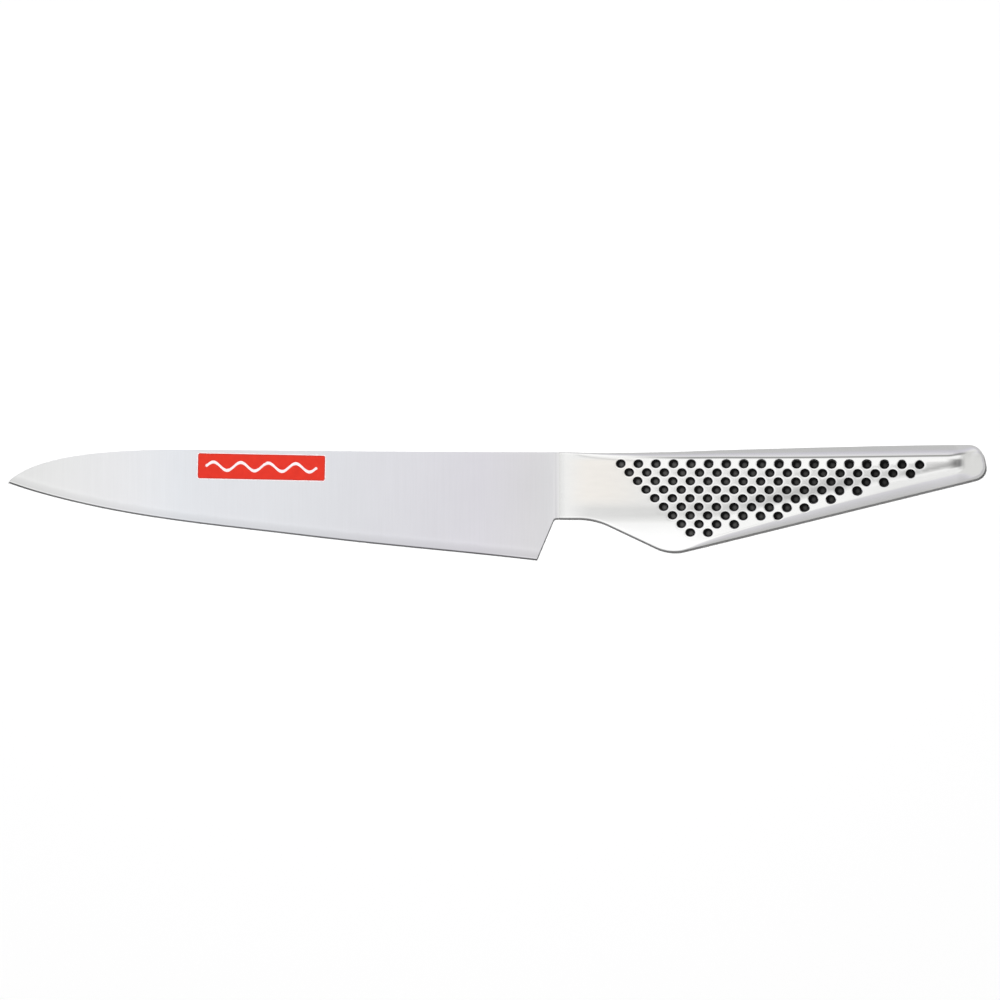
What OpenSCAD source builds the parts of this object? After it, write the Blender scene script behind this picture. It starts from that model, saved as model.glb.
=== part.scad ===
// Flexible kitchen knife made all of steel: a thin ground blade is welded into a
// hollow handle of two pressed halves, whose faces are dished and dimpled.
// All sizes are in millimetres. Butt to +X, spine to +Y, label side to +Z.

/* [Blade] */
// Length of the cutting edge from heel corner to tip
blade_len = 150; // [130:1:170]
// Height of the blade at the heel corner
blade_h = 30.3; // [29:0.1:33]
// Drop of the tip below the line of the spine
tip_drop = 8.3; // [6:0.1:11]
// Slight rise of the spine on its way to the front
spine_rise = 0.7; // [0.2:0.1:1.5]
// Thickness of the spine where it meets the handle
spine_t = 1.5; // [1.3:0.05:1.9]
// Thickness of the spine at the tip
tip_t = 0.9; // [0.8:0.05:1.2]
// Thickness of the heel corner before honing
heel_t = 0.7; // [0.6:0.05:1]
// Thickness left along the very edge
edge_t = 0.1; // [0.06:0.01:0.2]
// Angle of the honed bevel to the mid plane, each side
hone_angle = 6.2; // [5:0.1:9]
// Distance from the handle forward to the heel corner
heel_set = 6.3; // [5:0.1:8]
// Radius in the corner between heel and neck
heel_r = 1.1; // [0.6:0.1:1.4]

/* [Tang] */
// Length of the tang inside the handle
tang_len = 14; // [8:0.5:16]
// Height of the tang where it leaves the blade
tang_h = 13.6; // [8:0.1:14.5]
// Height that the tang loses towards its end
tang_taper = 2.4; // [0:0.1:4]
// Depth of each face of the tang below the blade's face, ground away before welding
tang_step = 0.15; // [0.05:0.01:0.25]
// Clearance round the tang in its pocket
tang_gap = 0.05; // [0.02:0.01:0.1]

/* [Handle outline] */
// Length of the handle from the blade to the lower butt corner
handle_len = 121.9; // [118:0.1:128]
// Height of the neck
neck_h = 18.7; // [18:0.1:20]
// Distance from the blade to the neck corner, before rounding
neck_x = 10; // [9:0.1:12]
// Distance from the blade to the belly corner, before rounding
belly_x = 31.4; // [29:0.1:34]
// Depth of the belly corner below the spine, before rounding
belly_h = 28.8; // [27.5:0.1:30]
// Depth of the lower butt corner below the spine, before rounding
butt_low = 6.9; // [6:0.1:7.6]
// Rise of the top of the handle from the blade to the butt
top_rise = 2.2; // [1:0.1:3]
// Lean of the butt end away from upright
end_lean = 17.7; // [10:0.1:22]
// Radius of the neck, in the hollow for the forefinger
neck_r = 20.5; // [16:0.5:23]
// Radius of the belly
belly_r = 12.5; // [9:0.5:16]
// Radius of the upper butt corner
butt_top_r = 5.5; // [4:0.1:6]
// Radius of the lower butt corner
butt_low_r = 2.4; // [1.8:0.1:3.2]

/* [Handle faces] */
// Half thickness of the handle at the neck
neck_half = 1.1; // [1:0.05:1.3]
// Half thickness of the handle from the end of its swell to the butt
butt_half = 5.4; // [4.8:0.1:6]
// Half thickness of the rim at the butt and along the lower rim
rim_half = 2.45; // [2.2:0.05:2.8]
// Distance from the end of the swell to the lower butt corner
swell_rest = 16.9; // [12:0.1:24]
// Radius at which the face rolls down to the forefinger
roll_r = 60; // [45:1:90]
// Length over which the rolled front passes into the dished rear
palm_blend = 18; // [12:0.5:24]
// Depth of the dish in each face
dish_depth = 1.2; // [0.8:0.05:1.4]
// Distance from the blade to the start of the dish
dish_start = 8; // [4:0.5:14]
// Distance from the place where the dish is deepest to the lower butt corner
deepest_rest = 36.9; // [27:0.1:52]
// Distance from the rear end of the dish to the lower butt corner
dish_rest = 7.3; // [5.9:0.1:9.9]
// Length of the wall that closes the dish at its rear
dish_wall = 2.8; // [2:0.1:4]
// Height of the dish's lower crease above the rim, at the belly
crease_near = 7.3; // [6.5:0.1:7.6]
// Height of the dish's lower crease above the rim, at the dish's end
crease_far = 4.7; // [4.4:0.1:5]
// Fall of the face towards both rims at the butt
butt_crown = 0.8; // [0.3:0.1:1]
// Fall of the face over the last stretch to the butt end
butt_fall = 1.5; // [0.8:0.1:1.8]

/* [Dimples] */
// Width of a dimple at the face
dimple_d = 2.5; // [2.1:0.1:2.8]
// Depth of a dimple
dimple_depth = 0.7; // [0.5:0.05:0.75]
// Pitch of the dimples along a row
dimple_pitch = 5; // [4.5:0.1:6]
// Step from one row to the next, down and towards the butt
row_step = 2.46; // [2.3:0.02:3]
// Distance from the blade to the first dimple
field_start = 17.5; // [16:0.1:24]
// Distance from the spine's line down to the first row
field_top = 3.4; // [3.3:0.1:4]
// Distance from the last place for a dimple to the lower butt corner
field_rest = 18.4; // [17:0.1:62]
// Least distance from a dimple to the lower rim, at the belly
field_land = 1.75; // [1.7:0.05:3]
// Angle at which the lowest dimples leave the lower rim
field_flare = 2.6; // [2.2:0.1:4]
// Thickness of the black enamel in a dimple
enamel_t = 0.12; // [0.08:0.01:0.2]
// Distance from the face down to the enamel's upper edge
enamel_drop = 0.16; // [0.1:0.01:0.25]

/* [Inside the handle] */
// Thickness of the pressed sheet under a face
sheet_t = 1.2; // [1:0.05:1.4]
// Width of the rim on which the two halves meet
rim_w = 1.6; // [1.4:0.1:2.2]
// Solid length of the neck, before the cavity starts
neck_solid = 17.5; // [17:0.5:22]
// Depth of the seam weld
seam_w = 0.8; // [0.5:0.1:1.1]
// Height of the seam weld on the rim
seam_h = 0.8; // [0.5:0.1:1]
// Width of the filler hole in the butt end
filler_d = 2.8; // [2:0.1:3.2]
// Clearance between the sand and the walls
sand_gap = 0.1; // [0.05:0.05:0.3]
// Width of the weld strip that blends the blade into the handle
neck_weld_w = 1.6; // [1:0.1:2.4]

/* [Label] */
// Length of the label
label_len = 36.1; // [20:0.1:45]
// Height of the label
label_h = 7; // [4:0.1:8]
// Corner radius of the label
label_r = 0.6; // [0.2:0.1:1.5]
// Thickness of the label film
label_t = 0.1; // [0.05:0.01:0.2]
// Distance from the handle forward to the label's middle
label_x = 84.3; // [60:0.1:95]
// Distance from the spine's line down to the label's middle
label_y = 4.2; // [4:0.1:9]
// Turn of the label, following the spine
label_turn = -0.95; // [-2:0.05:1]

/* [Hidden] */

// Overrun of every cut, and the size of a block that holds the whole knife
over = 1;
whole = 2 * (blade_len + handle_len);
// Steps in a fillet, and in each curve of the blade
arc_steps = 10;
curve_steps = 22;
// Least width of a rim bevel, and least half thickness of a lofted ring
least_bevel = 0.05;
least_half = 0.05;
// Clearance between the enamel and its dimple
enamel_gap = 0.01;
// Stations along the handle: swell, rear wall of the dish, butt
swell_stations = 40;
wall_stations = 6;
butt_stations = 8;

// Places of a section's points, from the upper ridge to the crease and from
// the crease to the lower ridge
bowl_shares = [0, 0.08, 0.2, 0.36, 0.56, 0.78, 1];
slope_shares = [0.3, 0.6, 0.82, 1];
// Power of the dish's section: over 1, it is steep at the ridge and level at the crease
bowl_power = 2.2;

// Level below the spine, as a share of the neck, at which the face starts to roll down
palm_share = 0.91;

// Handles of the curves of the blade: shares of the way forward, and of the way
// from the level at which the curve starts to the level of the tip
crest_share = 0.64;
spine_shares = [[0, 0], [0.48, -0.02], [0.85, 0.16], [1, 1]];
edge_shares = [[0, 0], [0.33, 0.26], [0.74, 0.39], [1, 1]];

tip = [-heel_set - blade_len, -tip_drop];
heel = [-heel_set, -blade_h];
crest = [-heel_set - crest_share * blade_len, spine_rise];

function lerp(a, b, s) = a + (b - a) * s;
function smooth(s) = let (c = max(0, min(1, s))) c * c * (3 - 2 * c);
function unit(v) = v / norm(v);
function flat(list) = [for (part = list) for (p = part) p];
function backward(list) = [for (i = [len(list) - 1:-1:0]) list[i]];

// A cubic curve from a to b whose handles are shares of the way between them
function curve_handles(a, b, shares) = [for (s = shares)
    [lerp(a.x, b.x, s.x), lerp(a.y, b.y, s.y)]];
function curve_at(h, t) = h[0] * pow(1 - t, 3) + 3 * h[1] * t * pow(1 - t, 2)
    + 3 * h[2] * (1 - t) * pow(t, 2) + h[3] * pow(t, 3);
function curve_way(h, t) = unit((h[1] - h[0]) * pow(1 - t, 2)
    + 2 * (h[2] - h[1]) * t * (1 - t) + (h[3] - h[2]) * pow(t, 2));

// A fillet of radius r at corner b between a and c
function fillet(a, b, c, r) = let (
    u = unit(a - b),
    v = unit(c - b),
    half = acos(u * v) / 2,
    mid = b + unit(u + v) * r / sin(half),
    from = b + u * r / tan(half) - mid,
    to = b + v * r / tan(half) - mid,
    start = atan2(from.y, from.x),
    turn = atan2(from.x * to.y - from.y * to.x, from * to))
    [for (i = [0:arc_steps]) mid + r * [cos(start + turn * i / arc_steps),
                                        sin(start + turn * i / arc_steps)]];

// An outline from its corners, each written as [x, y, radius]
function xy(p) = [p.x, p.y];
function rounded(corners) = let (n = len(corners)) flat([for (i = [0:n - 1])
    corners[i].z > 0
    ? fillet(xy(corners[(i + n - 1) % n]), xy(corners[i]), xy(corners[(i + 1) % n]),
             corners[i].z)
    : [xy(corners[i])]]);

// The same corners moved inward by a distance; they run clockwise
function inward(a, b) = let (d = unit(b - a)) [d.y, -d.x];
function inset(corners, by) = let (n = len(corners)) [for (i = [0:n - 1]) let (
    a = xy(corners[(i + n - 1) % n]),
    b = xy(corners[i]),
    c = xy(corners[(i + 1) % n]),
    p = inward(a, b),
    q = inward(b, c),
    moved = b + (p + q) * by / (1 + p * q),
    hollow = cross(b - a, c - b) > 0,
    r = corners[i].z)
    [moved.x, moved.y, r == 0 ? 0 : hollow ? r + by : max(r - by, least_bevel)]];

// The blade
spine_curve = curve_handles(crest, tip, spine_shares);
edge_curve = curve_handles(heel, tip, edge_shares);
heel_lean = atan(heel_set / (blade_h - neck_h));
heel_top = [-heel_r * tan((90 - heel_lean) / 2), -neck_h];
tang_mid = -neck_h / 2;
tang_end_h = tang_h - tang_taper;
blade_outline = concat(
    [[0, 0]],
    [for (i = [0:curve_steps]) curve_at(spine_curve, i / curve_steps)],
    [for (i = [curve_steps - 1:-1:0]) curve_at(edge_curve, i / curve_steps)],
    fillet(heel, heel_top, [0, -neck_h], heel_r));

// Half thickness of the blade: a plane on each side that falls to tip and edge
fall_x = (spine_t - tip_t) / 2 / (blade_len + heel_set);
fall_y = (spine_t - heel_t) / 2 / blade_h;
function blade_half(x, y) = spine_t / 2 + fall_x * x + fall_y * y;

// Everything below a plane, given its slope along x and its level at the handle
module below(slope_x, level) {
    translate([0, 0, level])
        rotate([asin(fall_y / norm([slope_x, fall_y, 1])), -atan(slope_x), 0])
            translate([-whole, -whole, -whole]) cube([2 * whole, 2 * whole, whole]);
}

module blade_slab(grow = 0) {
    intersection() {
        below(fall_x, spine_t / 2 + grow);
        mirror([0, 0, 1]) below(fall_x, spine_t / 2 + grow);
    }
}

// The groove for the weld: over its width the blade's face falls to the tang's
module below_groove() {
    below(fall_x - tang_step / neck_weld_w, spine_t / 2 - tang_step);
}

// The region above the cutting edge, moved inward by a distance and run on past
// the blade in every other direction
function edge_zone(by) = concat(
    [let (w = curve_way(edge_curve, 0)) heel - w * blade_h + by * [w.y, -w.x]],
    [for (i = [0:curve_steps]) let (t = i / curve_steps, w = curve_way(edge_curve, t))
        curve_at(edge_curve, t) + by * [w.y, -w.x]],
    [let (w = curve_way(edge_curve, 1)) tip + w * blade_h + by * [w.y, -w.x]],
    [[tip.x - blade_h, blade_h], [blade_h, blade_h]]);

module honed() {
    hone_run = (spine_t - edge_t) / 2 / tan(hone_angle);
    hull() {
        linear_extrude(edge_t, center = true) polygon(edge_zone(0));
        linear_extrude(spine_t, center = true) polygon(edge_zone(hone_run));
    }
}

// The tang is a little thinner than the blade, so that a shoulder meets the handle
module tang(grow = 0) {
    intersection() {
        blade_slab(grow - tang_step);
        linear_extrude(whole, center = true) polygon([
            [-over, tang_mid + tang_h / 2 + grow],
            [tang_len + grow, tang_mid + tang_end_h / 2 + grow],
            [tang_len + grow, tang_mid - tang_end_h / 2 - grow],
            [-over, tang_mid - tang_h / 2 - grow]]);
    }
}

// The handle's outline, clockwise from the spine at the blade
function top_y(x) = top_rise * smooth(x / handle_len);
rear_slope = atan((belly_h - butt_low) / (handle_len - belly_x));
end_top_x = handle_len - (top_rise + butt_low) * tan(end_lean);
top_shares = [0.1, 0.2, 0.3, 0.4, 0.5, 0.6, 0.7, 0.8];
belly_corners = [[handle_len, -butt_low, butt_low_r],
                 [belly_x, -belly_h, belly_r],
                 [neck_x, -neck_h, neck_r]];
function handle_outline(by = 0) = let (front = by == 0 ? 0 : -by - over)
    rounded(inset(concat(
        [[front, 0, 0]],
        [for (s = top_shares) [s * handle_len, top_y(s * handle_len), 0]],
        [[end_top_x, top_rise, butt_top_r]],
        belly_corners,
        [[front, -neck_h, 0]]), by));

// The lower rim as a table for lookup, run on behind the butt
rear_x = handle_len + belly_h;
rear_end = [rear_x, (rear_x - belly_x) * tan(rear_slope) - belly_h];
neck_start = [-over, -neck_h];
belly_corner = [belly_x, -belly_h];
neck_corner = [neck_x, -neck_h];
low_rim = concat(
    [neck_start],
    backward(fillet(belly_corner, neck_corner, neck_start, neck_r)),
    backward(fillet(rear_end, belly_corner, neck_corner, belly_r)),
    [rear_end]);
function low_y(x) = lookup(x, low_rim);

// The handle's face: half thickness at x, y. It swells from neck to butt, is dished
// between an upper ridge and a lower one, and rolls down to the forefinger.
swell_len = handle_len - swell_rest;
dish_full = handle_len - deepest_rest;
dish_end = handle_len - dish_rest;
function ease(x) = 1 - pow(1 - min(1, max(0, x / swell_len)), 2);
function butt_share(x) = smooth((x - dish_end) / (end_top_x - dish_end));
function mid_half(x) = lerp(neck_half, butt_half, ease(x))
    - butt_fall * pow(max(0, x - dish_end) / (handle_len - dish_end), 2);
function crown(x) = butt_crown * butt_share(x);
function top_rim_half(x) = lerp(neck_half, rim_half, ease(x));
function dish(x) = dish_depth * smooth((x - dish_start) / (dish_full - dish_start))
    * (1 - smooth((x - dish_end + dish_wall) / dish_wall));
function crease_y(x) = let (
    rear = (x - belly_x) * tan(rear_slope) - belly_h
        + lerp(crease_near, crease_far, (x - belly_x) / (dish_end - belly_x)))
    lerp(-palm_share * neck_h, rear, smooth((x - belly_x) / palm_blend));
function roll(x) = pow(max(0, crease_y(x) - low_y(x)), 2) / (2 * roll_r)
    * (1 - smooth((x - belly_x) / palm_blend));
function upper_bevel(x) = max(least_bevel, mid_half(x) - crown(x) - top_rim_half(x));
function lower_bevel(x) = max(least_bevel, mid_half(x) - crown(x) - roll(x) - rim_half)
    / cos(rear_slope);
function upper_ridge(x) = top_y(x) - upper_bevel(x);
function lower_ridge(x) = low_y(x) + lower_bevel(x);
function bowl(s) = 1 - pow(max(0, 1 - s), bowl_power);
function face_half(x, y) = let (
    yu = upper_ridge(x),
    yc = crease_y(x),
    yl = lower_ridge(x),
    s = (yu - y) / (yu - yc),
    u = (yc - y) / (yc - yl),
    across = 2 * (yu - y) / (yu - yl) - 1)
    mid_half(x) - crown(x) * across * across
    - (y > yc ? dish(x) * bowl(s) : dish(x) * (1 - u) + roll(x) * u * u);
function section(x) = let (
    yu = upper_ridge(x),
    yc = crease_y(x),
    yl = lower_ridge(x))
    concat(
        [[top_y(x) + over, face_half(x, yu) - upper_bevel(x) - over]],
        [for (s = bowl_shares) let (y = lerp(yu, yc, s)) [y, face_half(x, y)]],
        [for (s = slope_shares) let (y = lerp(yc, yl, s)) [y, face_half(x, y)]],
        [[low_y(x) - over, face_half(x, yl) - (lower_bevel(x) + over) * cos(rear_slope)]]);

wall_start = dish_end - dish_wall;
function stations(start) = concat(
    [for (i = [0:swell_stations - 1]) lerp(start, wall_start, i / swell_stations)],
    [for (i = [0:wall_stations - 1]) lerp(wall_start, dish_end, i / wall_stations)],
    [for (i = [0:butt_stations]) lerp(dish_end, handle_len + over, i / butt_stations)]);

// A block from a level z = low up to the face, sunk below it by a distance; with
// low left out it reaches down to the other face, sunk alike
module face_block(start, sink = 0, low = undef) {
    xs = stations(start);
    rings = [for (x = xs) let (p = section(x)) concat(
        [for (q = p) [x, q.x, max(least_half, q.y - sink)]],
        is_undef(low)
        ? [for (q = backward(p)) [x, q.x, -max(least_half, q.y - sink)]]
        : [for (q = [p[len(p) - 1], p[0]]) [x, q.x, low]])];
    m = len(rings[0]);
    polyhedron(flat(rings), concat(
        [[for (j = [0:m - 1]) j]],
        [for (i = [0:len(xs) - 2], j = [0:m - 1]) let (
            a = i * m + j, b = i * m + (j + 1) % m) [a, a + m, b + m]],
        [for (i = [0:len(xs) - 2], j = [0:m - 1]) let (
            a = i * m + j, b = i * m + (j + 1) % m) [a, b + m, b]],
        [[for (j = [m - 1:-1:0]) (len(xs) - 1) * m + j]]));
}

module outline_block(by = 0) {
    linear_extrude(whole, center = true) polygon(handle_outline(by));
}

// The cavity between the halves; the sand fills it with a clearance
module cavity(gap = 0, low = undef) {
    intersection() {
        face_block(neck_solid + gap, sheet_t + gap, low);
        outline_block(rim_w + gap);
    }
}

module seam_ring() {
    difference() {
        linear_extrude(seam_h, center = true) polygon(handle_outline());
        outline_block(seam_w);
    }
}

// The filler hole runs square to the butt end, at half its height
module filler_axis(d) {
    translate([(handle_len + end_top_x) / 2, (top_rise - butt_low) / 2, 0])
        rotate([0, 90, end_lean])
            cylinder(d = d, h = 2 * (rim_w + over) + butt_top_r, center = true, $fn = 96);
}

// The dimples: rows that start one step further on, as long as they keep clear
// of the lower rim
ball_r = (pow(dimple_d / 2, 2) + pow(dimple_depth, 2)) / (2 * dimple_depth);
row_count = floor(belly_h / row_step);
column_count = floor(handle_len / dimple_pitch);
field_end = handle_len - field_rest;
dimples = [for (row = [0:row_count], column = [0:column_count]) let (
    x = field_start + row * row_step + column * dimple_pitch,
    y = -field_top - row * row_step)
    if (x <= field_end && y - low_y(x)
        >= field_land + tan(field_flare) * (x - belly_x)) [x, y, face_half(x, y)]];

module dimple_balls() {
    for (p = dimples) translate([p.x, p.y, p.z - dimple_depth + ball_r])
        sphere(r = ball_r, $fn = 40);
}

// Everything stands with its lowest face on the floor and its middle over the origin
all_x = concat([for (p = handle_outline()) p.x], [tip.x]);
all_y = concat([for (p = handle_outline()) p.y], [for (p = blade_outline) p.y]);
centre = [(max(all_x) + min(all_x)) / 2, (max(all_y) + min(all_y)) / 2];
module placed() {
    translate([-centre.x, -centre.y, butt_half]) children();
}

module blade() {
    color([0.80, 0.81, 0.84]) placed() union() {
        intersection() {
            blade_slab();
            honed();
            below_groove();
            mirror([0, 0, 1]) below_groove();
            linear_extrude(whole, center = true) polygon(blade_outline);
        }
        tang();
    }
}

module shell() {
    difference() {
        intersection() {
            face_block(-over, low = 0);
            outline_block();
        }
        cavity(low = -over);
        tang(tang_gap);
        seam_ring();
        filler_axis(filler_d);
        dimple_balls();
    }
}

module handle_shell_front() {
    color([0.90, 0.90, 0.91]) placed() shell();
}

module handle_shell_back() {
    color([0.86, 0.86, 0.88]) placed() mirror([0, 0, 1]) shell();
}

module seam_weld() {
    color([0.76, 0.76, 0.78]) placed() difference() {
        seam_ring();
        filler_axis(filler_d);
    }
}

// A strip on each side fills the groove and the step up to the handle's face
module neck_strip() {
    difference() {
        polyhedron(flat([for (y = [0, -neck_h])
            [[-neck_weld_w, y, blade_half(-neck_weld_w, y)], [0, y, neck_half],
             [0, y, 0], [-neck_weld_w, y, 0]]]),
            concat([[3, 2, 1, 0], [4, 5, 6, 7]],
                [for (j = [0:3]) let (k = (j + 1) % 4) [j, k, k + 4]],
                [for (j = [0:3]) let (k = (j + 1) % 4) [j, k + 4, j + 4]]));
        below_groove();
    }
}

module neck_weld() {
    color([0.84, 0.84, 0.86]) placed() for (side = [0, 1]) mirror([0, 0, side]) neck_strip();
}

module filler_plug() {
    color([0.72, 0.72, 0.74]) placed() difference() {
        intersection() {
            filler_axis(filler_d);
            outline_block();
        }
        outline_block(rim_w);
    }
}

module balance_sand() {
    color([0.76, 0.69, 0.55]) placed() cavity(sand_gap);
}

module enamel() {
    for (p = dimples) translate([p.x, p.y, p.z - dimple_depth]) difference() {
        translate([0, 0, ball_r]) sphere(r = ball_r - enamel_gap, $fn = 40);
        translate([0, 0, ball_r + enamel_t]) sphere(r = ball_r, $fn = 40);
        translate([-ball_r - over, -ball_r - over, dimple_depth - enamel_drop])
            cube(2 * (ball_r + over));
    }
}

module dimple_enamel_front() {
    color([0.05, 0.05, 0.055]) placed() enamel();
}

module dimple_enamel_back() {
    color([0.05, 0.05, 0.055]) placed() mirror([0, 0, 1]) enamel();
}

// The label is a film on the upper face of the blade
module flex_label() {
    a = [label_len / 2, label_h / 2];
    color([0.91, 0.20, 0.16]) placed() difference() {
        intersection() {
            below(fall_x, spine_t / 2 + label_t);
            translate([-label_x, -label_y, 0]) rotate([0, 0, label_turn])
                linear_extrude(spine_t) polygon(rounded([
                    [-a.x, a.y, label_r], [a.x, a.y, label_r],
                    [a.x, -a.y, label_r], [-a.x, -a.y, label_r]]));
        }
        below(fall_x, spine_t / 2);
    }
}

blade();
handle_shell_front();
handle_shell_back();
seam_weld();
neck_weld();
filler_plug();
balance_sand();
dimple_enamel_front();
dimple_enamel_back();
flex_label();
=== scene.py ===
"""Looks of the flexible kitchen knife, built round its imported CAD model.

The file follows the knife as it is put together: studio, blade, weld at the neck, the two
pressed halves of the handle, the seam, the plug, the sand, the enamel and the label.
Lengths in the sections are in millimetres, measured from the joint of blade and handle
along the knife (x), up from the spine's line (y) and out from the mid plane (z). The
studio, and the places that materials read, are in metres in the shared frame.
"""
import math

import bpy
import numpy as np
from mathutils.geometry import delaunay_2d_cdt
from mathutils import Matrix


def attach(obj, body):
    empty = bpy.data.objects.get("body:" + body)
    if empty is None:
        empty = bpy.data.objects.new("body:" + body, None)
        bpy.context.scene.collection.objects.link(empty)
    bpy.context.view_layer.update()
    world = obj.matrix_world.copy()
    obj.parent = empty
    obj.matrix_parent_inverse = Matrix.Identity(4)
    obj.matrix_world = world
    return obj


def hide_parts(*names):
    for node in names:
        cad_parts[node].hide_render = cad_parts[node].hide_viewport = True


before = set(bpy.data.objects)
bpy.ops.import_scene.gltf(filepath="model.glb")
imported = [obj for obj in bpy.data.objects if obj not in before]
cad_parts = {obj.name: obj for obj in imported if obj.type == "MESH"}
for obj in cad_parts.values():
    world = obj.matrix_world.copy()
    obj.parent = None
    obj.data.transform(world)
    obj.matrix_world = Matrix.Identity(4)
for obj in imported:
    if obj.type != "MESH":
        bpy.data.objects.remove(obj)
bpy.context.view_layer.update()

# Studio: the knife lies on a white table under a white tent, lit by a small lamp two
# metres up, a little behind and to the left, so a narrow shadow follows the lower rims.
# The tent has a dark opening above the knife, where the camera looks in, and a grey foot.
SCALE, LENS, SENSOR = 0.284, 480.0, 36.0
camera = bpy.data.objects.new("camera", bpy.data.cameras.new("camera"))
camera.data.lens = LENS
camera.data.sensor_width = SENSOR
distance = SCALE * LENS / SENSOR
camera.location = (0.00078, 0.00052, 0.0054 + distance)
camera.rotation_euler = (0.0, 0.0, 0.0)
camera.data.clip_start = 0.01
camera.data.clip_end = 20.0
bpy.context.scene.collection.objects.link(camera)
bpy.context.scene.camera = camera

table_mesh = bpy.data.meshes.new("table_top")
table_mesh.from_pydata([(-6, -6, 0), (6, -6, 0), (6, 6, 0), (-6, 6, 0)], [], [(0, 1, 2, 3)])
table_top = bpy.data.objects.new("table_top", table_mesh)
bpy.context.scene.collection.objects.link(table_top)


def node_maker(tree):
    """Returns functions that add a node to an emptied tree, set its inputs and join its
    links: one for any node, and short forms for Math, Vector Math and Map Range nodes."""
    tree.nodes.clear()

    def add(kind, settings=None, **inputs):
        made = tree.nodes.new(kind)
        for name, value in (settings or {}).items():
            setattr(made, name, value)
        for name, value in inputs.items():
            numbered = name[0] == "i" and name[1:].isdigit()
            key = int(name[1:]) if numbered else name.replace("_", " ")
            if isinstance(value, bpy.types.NodeSocket):
                tree.links.new(value, made.inputs[key])
            else:
                made.inputs[key].default_value = value
        return made

    def calc(operation, *values):
        given = {f"i{i}": value for i, value in enumerate(values)}
        return add("ShaderNodeMath", {"operation": operation}, **given).outputs[0]

    def vector(operation, *values, scale=None):
        given = {f"i{i}": value for i, value in enumerate(values)}
        if scale is not None:
            given["Scale"] = scale
        made = add("ShaderNodeVectorMath", {"operation": operation}, **given)
        return made.outputs["Value" if operation in ("LENGTH", "DISTANCE") else "Vector"]

    def span(value, a, b, c=0.0, d=1.0, soft=True):
        """The value carried from the range a to b over to the range c to d, with level
        ends when soft."""
        kind = "SMOOTHSTEP" if soft else "LINEAR"
        return add("ShaderNodeMapRange", {"interpolation_type": kind}, Value=value,
                   From_Min=a, From_Max=b, To_Min=c, To_Max=d).outputs[0]

    return add, calc, vector, span


def new_material(name):
    """A material with an empty tree, and the functions that add nodes to it."""
    made = bpy.data.materials.new(name)
    made.use_nodes = True
    return made, *node_maker(made.node_tree)


def ramp(add, value, stops):
    """The colour that a ramp gives a value. Each stop is a place and a grey or a colour."""
    made = add("ShaderNodeValToRGB", i0=value)
    band = made.color_ramp
    while len(band.elements) > 1:
        band.elements.remove(band.elements[-1])
    for i, (place, colour) in enumerate(stops):
        element = band.elements[0] if i == 0 else band.elements.new(place)
        element.position = place
        element.color = (*colour, 1.0) if hasattr(colour, "__len__") else (colour,) * 3 + (1.0,)
    return made.outputs[0]


white_table, add, calc, vector, span = new_material("white_table")
paper = add("ShaderNodeBsdfDiffuse", Color=(0.96, 0.96, 0.96, 1.0))
white = add("ShaderNodeEmission", Color=(1.0, 1.0, 1.0, 1.0), Strength=1.0)
place = add("ShaderNodeTexCoord").outputs["Object"]
far = span(vector("LENGTH", place), 0.14, 0.30)
floor = add("ShaderNodeMixShader", i0=far, i1=paper.outputs[0], i2=white.outputs[0])
glow = add("ShaderNodeEmission", Color=(1.0, 1.0, 1.0, 1.0), Strength=0.56)
rays = add("ShaderNodeLightPath").outputs
seen = calc("MAXIMUM", rays["Is Glossy Ray"], rays["Is Transmission Ray"])
both = add("ShaderNodeMixShader", i0=seen, i1=floor.outputs[0], i2=glow.outputs[0])
add("ShaderNodeOutputMaterial", i0=both.outputs[0])
table_top.data.materials.append(white_table)

world = bpy.data.worlds.new("tent")
bpy.context.scene.world = world
world.use_nodes = True
add, calc, vector, span = node_maker(world.node_tree)
way = add("ShaderNodeTexCoord").outputs["Generated"]
split = add("ShaderNodeSeparateXYZ", i0=way).outputs
level = calc("ADD", split["Z"], span(split["Y"], 0.0, -1.0, 0.0, 0.17, soft=False))
height = ramp(add, level, [
    (0.0, (0.57, 0.56, 0.615)), (0.12, (0.61, 0.60, 0.645)), (0.32, (0.73, 0.725, 0.75)),
    (0.48, (0.89, 0.89, 0.90)), (0.62, (1.0, 1.0, 0.995))])
right = ramp(add, split["X"], [(0.10, (1.01, 1.01, 1.01)), (0.30, (0.73, 0.73, 0.72))])
from_lens = vector("DISTANCE", vector("MULTIPLY", way, (1.0, 2.2, 0.0)), (0.03, 0.0, 0.0))
opening = ramp(add, from_lens, [
    (0.0, 0.50), (0.035, 0.58), (0.075, 0.74), (0.12, 0.86), (0.20, 0.925), (0.30, 1.03)])
dimmed = vector("SCALE", vector("MINIMUM", height, right),
                scale=span(split["Y"], 0.05, 0.45, 1.0, 0.97))
tent = vector("MULTIPLY", dimmed, opening)
rays = add("ShaderNodeLightPath").outputs
shiny = calc("MAXIMUM", rays["Is Glossy Ray"], rays["Is Transmission Ray"])
fill = add("ShaderNodeBackground", Color=(0.985, 0.99, 1.0, 1.0), Strength=0.03)
tent_light = add("ShaderNodeBackground", Color=tent, Strength=1.0)
plain = add("ShaderNodeBackground", Color=(1.0, 1.0, 1.0, 1.0), Strength=1.0)
lit = add("ShaderNodeMixShader", i0=shiny, i1=fill.outputs[0], i2=tent_light.outputs[0])
out = add("ShaderNodeMixShader", i0=rays["Is Camera Ray"], i1=lit.outputs[0],
          i2=plain.outputs[0])
add("ShaderNodeOutputWorld", i0=out.outputs[0])

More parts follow.
